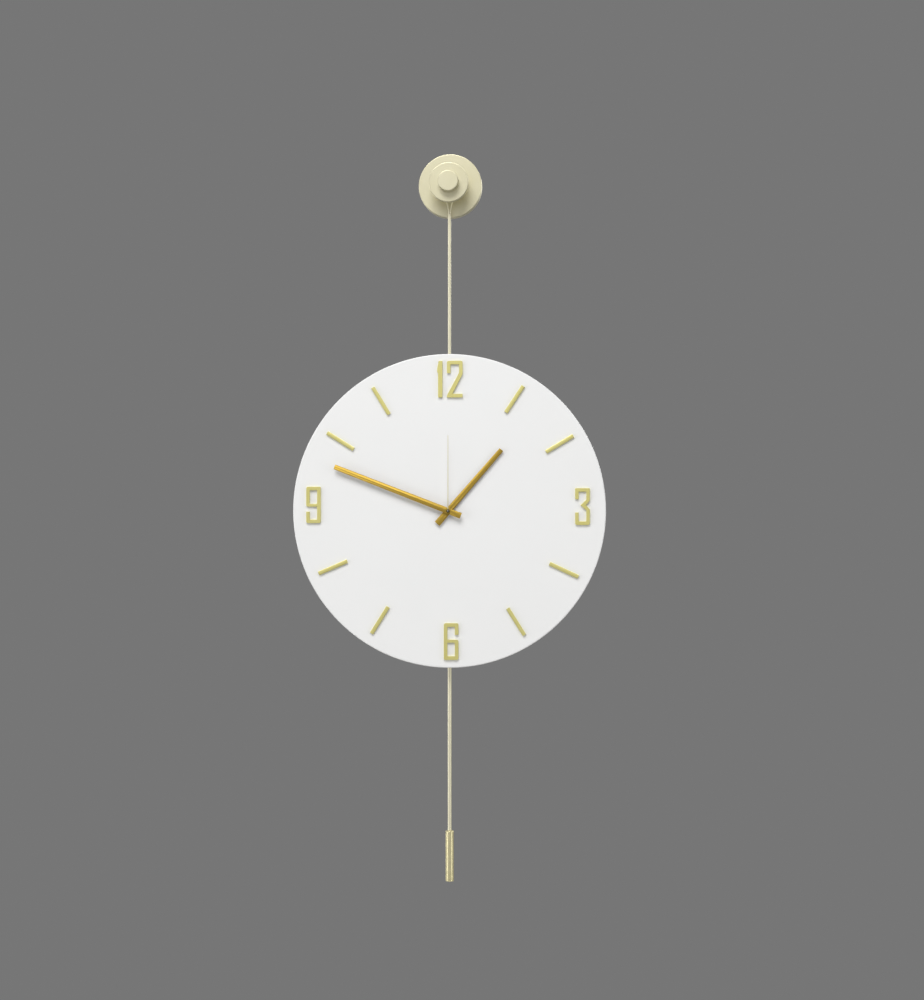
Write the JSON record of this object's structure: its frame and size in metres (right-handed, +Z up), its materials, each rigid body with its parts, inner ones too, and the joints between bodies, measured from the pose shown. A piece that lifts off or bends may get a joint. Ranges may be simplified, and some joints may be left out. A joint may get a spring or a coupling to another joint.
{
  "type": "pendulum wall clock",
  "caption": "Pendulum wall clock: a round white dial with gold numerals hangs by a rod from a turned wall knob, with a quartz movement behind it and a slim rod pendulum below.",
  "frame": {"origin": "centre of the wall knob's back face, on the wall", "axes": "+Z up, +Y into the wall, +X to the right as the dial is faced; the dial faces -Y"},
  "size_m": [0.3, 0.0383, 0.7018],
  "materials": {
    "champagne_gold": "satin turned brass with a pale champagne gold lacquer",
    "plated_rod": "drawn steel with a pale champagne gold plating",
    "yellow_gold": "satin anodised aluminium, yellow gold",
    "hand_gold": "satin anodised aluminium, deeper gold",
    "hand_silver": "thin satin aluminium, silver white",
    "white_lacquer": "fibreboard under smooth satin white lacquer",
    "black_plastic": "moulded black ABS, fine spark texture",
    "white_nylon": "moulded natural acetal",
    "bright_steel": "plain bright steel",
    "zinc_plate": "clear zinc plated steel",
    "enamelled_copper": "enamelled copper winding",
    "ferrite": "sintered ferrite magnet",
    "foam": "closed cell foam",
    "circuit_board": "green solder resist",
    "battery_jacket": "plain printed shrink film, no marks",
    "nickel": "nickel plated sheet"
  },
  "bodies": {
    "wall_knob": {"wall_plate": "zinc_plate", "flange_cup": "champagne_gold", "flange_grub_screw": "bright_steel", "hanger_post": "champagne_gold"},
    "knob_front": {"retaining_disc": "champagne_gold", "end_cap": "champagne_gold"},
    "clock": {"hanger_eye": "plated_rod", "hanger_rod": "plated_rod", "hanger_bracket": "bright_steel", "bracket_screw_left": "zinc_plate", "bracket_screw_right": "zinc_plate", "dial": "white_lacquer", "numeral_12_left": "yellow_gold", "numeral_12_right": "yellow_gold", "numeral_3": "yellow_gold", "numeral_6": "yellow_gold", "numeral_9": "yellow_gold", "hour_bar_1": "yellow_gold", "hour_bar_2": "yellow_gold", "hour_bar_4": "yellow_gold", "hour_bar_5": "yellow_gold", "hour_bar_7": "yellow_gold", "hour_bar_8": "yellow_gold", "hour_bar_10": "yellow_gold", "hour_bar_11": "yellow_gold", "foam_gasket": "foam", "movement_front_plate": "black_plastic", "movement_back_case": "black_plastic", "movement_screw_left": "zinc_plate", "movement_screw_right": "zinc_plate", "circuit_board": "circuit_board", "control_chip": "black_plastic", "quartz_crystal": "nickel", "motor_coil": "enamelled_copper", "coil_bobbin": "white_nylon", "coil_core": "bright_steel", "stator": "bright_steel", "contact_positive": "nickel", "contact_negative": "nickel", "drive_coil": "enamelled_copper", "lever_pivot": "bright_steel"},
    "minute_arbor": {"minute_hand": "hand_gold", "centre_wheel": "white_nylon"},
    "hour_pipe": {"hour_hand": "hand_gold", "hour_wheel": "white_nylon"},
    "second_arbor": {"second_hand": "hand_silver", "second_wheel": "white_nylon"},
    "motion_arbor": {"minute_wheel": "white_nylon"},
    "third_arbor": {"third_wheel": "white_nylon"},
    "step_arbor": {"step_wheel": "white_nylon"},
    "rotor": {"rotor_pinion": "white_nylon", "rotor_magnet": "ferrite"},
    "setting_arbor": {"set_knob": "black_plastic"},
    "cell": {"battery": "battery_jacket"},
    "pendulum": {"swing_lever": "black_plastic", "lever_magnet": "ferrite", "pendulum_hook": "bright_steel", "pendulum_rod": "plated_rod", "pendulum_bob": "champagne_gold"}
  },
  "joints": [
    {"name": "knob_front_pull", "type": "slide", "parent": "wall_knob", "child": "knob_front", "axis": [0, -1, 0], "range_m": [0, 0.014]},
    {"name": "clock_swing", "type": "hinge", "parent": "wall_knob", "child": "clock", "pos_m": [0, -0.017, 0], "axis": [0, 1, 0], "range_deg": [-20, 20]},
    {"name": "minute_hand_turn", "type": "hinge", "parent": "clock", "child": "minute_arbor", "pos_m": [0, 0, -0.3144], "axis": [0, 1, 0], "continuous": true},
    {"name": "hour_hand_turn", "type": "hinge", "parent": "clock", "child": "hour_pipe", "pos_m": [0, 0, -0.3144], "axis": [0, 1, 0], "continuous": true},
    {"name": "second_hand_turn", "type": "hinge", "parent": "clock", "child": "second_arbor", "pos_m": [0, 0, -0.3144], "axis": [0, 1, 0], "continuous": true},
    {"name": "minute_wheel_turn", "type": "hinge", "parent": "clock", "child": "motion_arbor", "pos_m": [0.01015, 0, -0.31071], "axis": [0, 1, 0], "continuous": true},
    {"name": "third_wheel_turn", "type": "hinge", "parent": "clock", "child": "third_arbor", "pos_m": [0.0025, 0, -0.30022], "axis": [0, 1, 0], "continuous": true},
    {"name": "step_wheel_turn", "type": "hinge", "parent": "clock", "child": "step_arbor", "pos_m": [-0.01241, 0, -0.31221], "axis": [0, 1, 0], "continuous": true},
    {"name": "rotor_turn", "type": "hinge", "parent": "clock", "child": "rotor", "pos_m": [-0.02186, 0, -0.31055], "axis": [0, 1, 0], "continuous": true},
    {"name": "set_knob_turn", "type": "hinge", "parent": "clock", "child": "setting_arbor", "pos_m": [0.0203, 0, -0.30701], "axis": [0, 1, 0], "continuous": true},
    {"name": "battery_pull", "type": "slide", "parent": "clock", "child": "cell", "axis": [0, 1, 0], "range_m": [0, 0.02]},
    {"name": "pendulum_swing", "type": "hinge", "parent": "clock", "child": "pendulum", "pos_m": [0, -0.0155, -0.3504], "axis": [0, 1, 0], "range_deg": [-8, 8]}
  ],
  "couplings": [
    {"joint": "hour_hand_turn", "follows": "minute_hand_turn", "ratio": 0.083333},
    {"joint": "second_hand_turn", "follows": "minute_hand_turn", "ratio": 60},
    {"joint": "minute_wheel_turn", "follows": "minute_hand_turn", "ratio": -0.33333},
    {"joint": "third_wheel_turn", "follows": "minute_hand_turn", "ratio": -7.5},
    {"joint": "step_wheel_turn", "follows": "minute_hand_turn", "ratio": -360},
    {"joint": "rotor_turn", "follows": "minute_hand_turn", "ratio": 1800},
    {"joint": "set_knob_turn", "follows": "minute_hand_turn", "ratio": 1}
  ]
}
